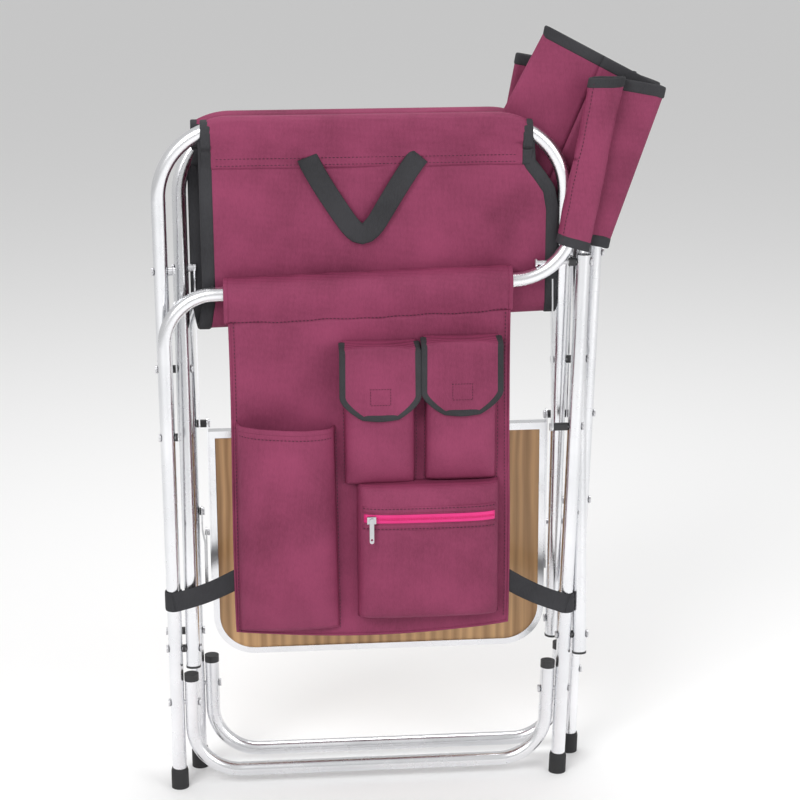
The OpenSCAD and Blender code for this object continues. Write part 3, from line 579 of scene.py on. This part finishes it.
# ---- tie straps
def tie(name, x, z, ex, rise, node):
    s = 1 if ex > x else -1
    pts = []
    for k in range(25):
        a = 2 * math.pi * k / 24 + math.pi / 2
        pts.append(P(x + 9.3 * math.cos(a) * s, 9.3 * math.sin(a), z))
    ring = sweep(name + "_ring", pts, Vector((0, 0, 1)), 23, 1.5, BLACK)
    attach(ring, "near_frame")
    pts = [P(x, -9.6, z)]
    for k in range(1, 21):
        t = k / 20
        pts.append(P(x + (ex - x) * t, -10.2 + 1.5 * math.sin(t * 3.1),
                     z + rise * t - 4 * math.sin(math.pi * t)))
    o = sweep(name + "_tongue", pts, Vector((0, 0, 1)), 23, 1.5, BLACK)
    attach(o, "near_frame")
    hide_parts(node)

tie("tie_front", 0, 230, 80, 30, "tie_strap_front")
tie("tie_rear", 442.4 + 7.2, 212, 372, 38, "tie_strap_rear")

# ---- backrest: the post's lean, its x and z at the armrest bend, z at the sleeve's foot
PL = 10.8
PX = 439.1
BEND_Z = 581
FOOT_Z = 634.5
foot = Vector((PX + (FOOT_Z - BEND_Z) * math.tan(math.radians(PL)), 0, FOOT_Z))
EU, EV = Vector((cos(PL), 0, -sin(PL))), Vector((sin(PL), 0, cos(PL)))

def post(u, y, w):
    q = foot + EU * u + Vector((0, y, 0)) + EV * w
    return P(q.x, q.y, q.z)

def post_sleeve(tag, body, dx, dy, node):
    def f(u, v):
        a = 2 * math.pi * u
        w = -2 + 178 * v
        ca, sa = math.cos(a), math.sin(a)
        hw = 20 + 0.6 * math.sin(v * 7)
        hy = 9.6
        x = 3 + math.copysign(abs(ca) ** 0.8, ca) * (hw - 2)
        y = math.copysign(abs(sa) ** 0.75, sa) * hy
        p = post(x + 0.5 * noise(w, a * 40, 2, 3), y, w + 4 * (ca if v > .5 else -ca * .5))
        return p + Vector((dx, dy, 0)) * MM
    o = cloth("post_cover_" + tag, f, 48, 40, 1.3)
    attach(o, body)
    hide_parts(node)
    for k, v in (("low", 0.0), ("top", 1.0)):
        b = sweep(f"post_binding_{tag}_{k}", [f(i / 48, v) for i in range(49)], EV, 11, 2.4, BLACK)
        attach(b, body)
    s = stitches("post_stitch_" + tag, [f(0.62, v / 40) + Vector((0, -0.001, 0)) for v in range(41)],
                 Vector((0, -1, 0)))
    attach(s, body)

post_sleeve("near", "near_frame", 0, 0, "near_post_sleeve")
post_sleeve("far", "far_frame", FAR_DX, W, "far_post_sleeve")

# tilt of the slanted creases (degrees), then each crease's distance along the cloth
FT = 8.5
U1 = 62.0
U2 = U1 + 135
PK = U1 - 135 * cos(2 * FT)
BL = math.hypot(OPEN_W, FAR_DX)
U3 = U2 + (50 - PK) / cos(2 * FT)
U4 = U3 + (BL - U3 + 50 - FAR_DX) / 2
# creases: distance along the cloth (mm), tilt (degrees), depth of the fold's axis (mm)
CR = [(U1, FT, 8.2), (U2, 0.0, -3.1), (U3, -FT, 20.7), (U4, 0.0, 4.0)]
TOP, LOW = 176.0, 3.0

def crease_u(c, w):
    return c[0] + (w - 172) * math.tan(math.radians(c[1]))

MS = [Matrix.Identity(4)]

def turn(c, ang):
    q = Vector((c[0], 8 + c[2], 172))
    v = Vector((sin(c[1]), 0, cos(c[1])))
    return Matrix.Translation(q) @ Matrix.Rotation(math.radians(ang), 4, v) @ Matrix.Translation(-q)

for c in CR:
    MS.append(MS[-1] @ turn(c, 180))

def flat(k, s, w, m=None):
    p = (m or MS[k]) @ Vector((s, 8, w))
    return post(p.x, p.y, p.z)

EDGES = [(12.0, 0, 0)] + CR + [(BL - 16.0, 0, 0)]

def mid(k, w):
    return (crease_u(EDGES[k], w) + crease_u(EDGES[k + 1], w)) / 2

def back_piece(k):
    """Cloth from the middle of panel k, round crease k, to the middle of panel k + 1."""
    c = CR[k]
    sg = 1 if c[2] > 0 else -1
    A, C, B = 14, 10, 14
    def at(i, w):
        lo = crease_u(EDGES[0], w) if k == 0 else mid(k, w)
        hi = crease_u(EDGES[-1], w) if k == 3 else mid(k + 1, w)
        cu = crease_u(c, w)
        if i <= A:
            return flat(k, lo + (cu - lo) * i / A, w)
        if i < A + C:
            return flat(k, cu, w, MS[k] @ turn(c, sg * 180 * (i - A) / C))
        return flat(k + 1, cu + (hi - cu) * (i - A - C) / B, w)
    n = A + B + C
    def f(u, v):
        w = LOW + (TOP - LOW) * v
        return at(int(round(u * n)), w)
    y0, y1 = flat(k, crease_u(c, 90), 90), flat(k + 1, crease_u(c, 90), 90)
    o = cloth(f"back_cloth_{k + 1}", f, n, 30, 2.2)
    got = [o]
    if k == 0:
        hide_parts("back_panel_1", "back_panel_2")
    else:
        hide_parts(f"back_panel_{k + 2}")
    for t, v in (("top", 1.0), ("low", 0.0)):
        w = TOP if v else LOW
        got.append(sweep(f"back_binding_{t}_{k + 1}", [at(i, w) for i in range(n + 1)], EV, 13, 4.2,
                         BLACK))
    for g in got:
        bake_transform(g)

for k in range(4):
    back_piece(k)

# ---- floor, light, camera
bpy.ops.mesh.primitive_plane_add(size=80, location=(0, 3, 0))
fl = bpy.context.object
fl.name = "floor"
m, t, b = mat("floor_white")
b.inputs["Base Color"].default_value = (0.9, 0.9, 0.9, 1)
b.inputs["Roughness"].default_value = 0.9
fl.data.materials.append(m)
wd = bpy.data.worlds.new("studio")
bpy.context.scene.world = wd
wd.use_nodes = True
wd.node_tree.nodes["Background"].inputs[0].default_value = (1, 1, 1, 1)
wd.node_tree.nodes["Background"].inputs[1].default_value = 0.62

def area(name, loc, target, size, power):
    l = bpy.data.lights.new(name, "AREA")
    l.size = size
    l.energy = power
    o = bpy.data.objects.new(name, l)
    bpy.context.scene.collection.objects.link(o)
    o.location = loc
    o.rotation_euler = (Vector(target) - Vector(loc)).to_track_quat("-Z", "Y").to_euler()

area("key", (-1.6, -2.4, 2.4), (0, 0, 0.4), 1.6, 58)
area("fill", (2.2, -2.0, 1.4), (0, 0, 0.4), 1.8, 28)
area("top", (0.2, 0.6, 2.8), (0, 0, 0.4), 1.5, 26)
cam = bpy.data.cameras.new("camera")
co = bpy.data.objects.new("camera", cam)
bpy.context.scene.collection.objects.link(co)
# the camera fitted to the photograph: turn, pitch and roll (radians), lens and place (mm)
yaw, pit, rol = -0.08297147, -0.255729, -0.00595432
LENS, CAM_AT = 91.7, (76.4, -2195.4, 1033.3)
fwd = Vector((-math.sin(yaw) * math.cos(pit), math.cos(yaw) * math.cos(pit), math.sin(pit)))
rt = Vector((math.cos(yaw), math.sin(yaw), 0))
up = rt.cross(fwd)
r2 = rt * math.cos(rol) + up * math.sin(rol)
u2 = -rt * math.sin(rol) + up * math.cos(rol)
mw = Matrix((r2, u2, -fwd)).transposed().to_4x4()
mw.translation = P(*CAM_AT)
co.matrix_world = mw
cam.sensor_width = 36
cam.lens = LENS
bpy.context.scene.camera = co
bpy.context.scene.view_settings.view_transform = "Standard"
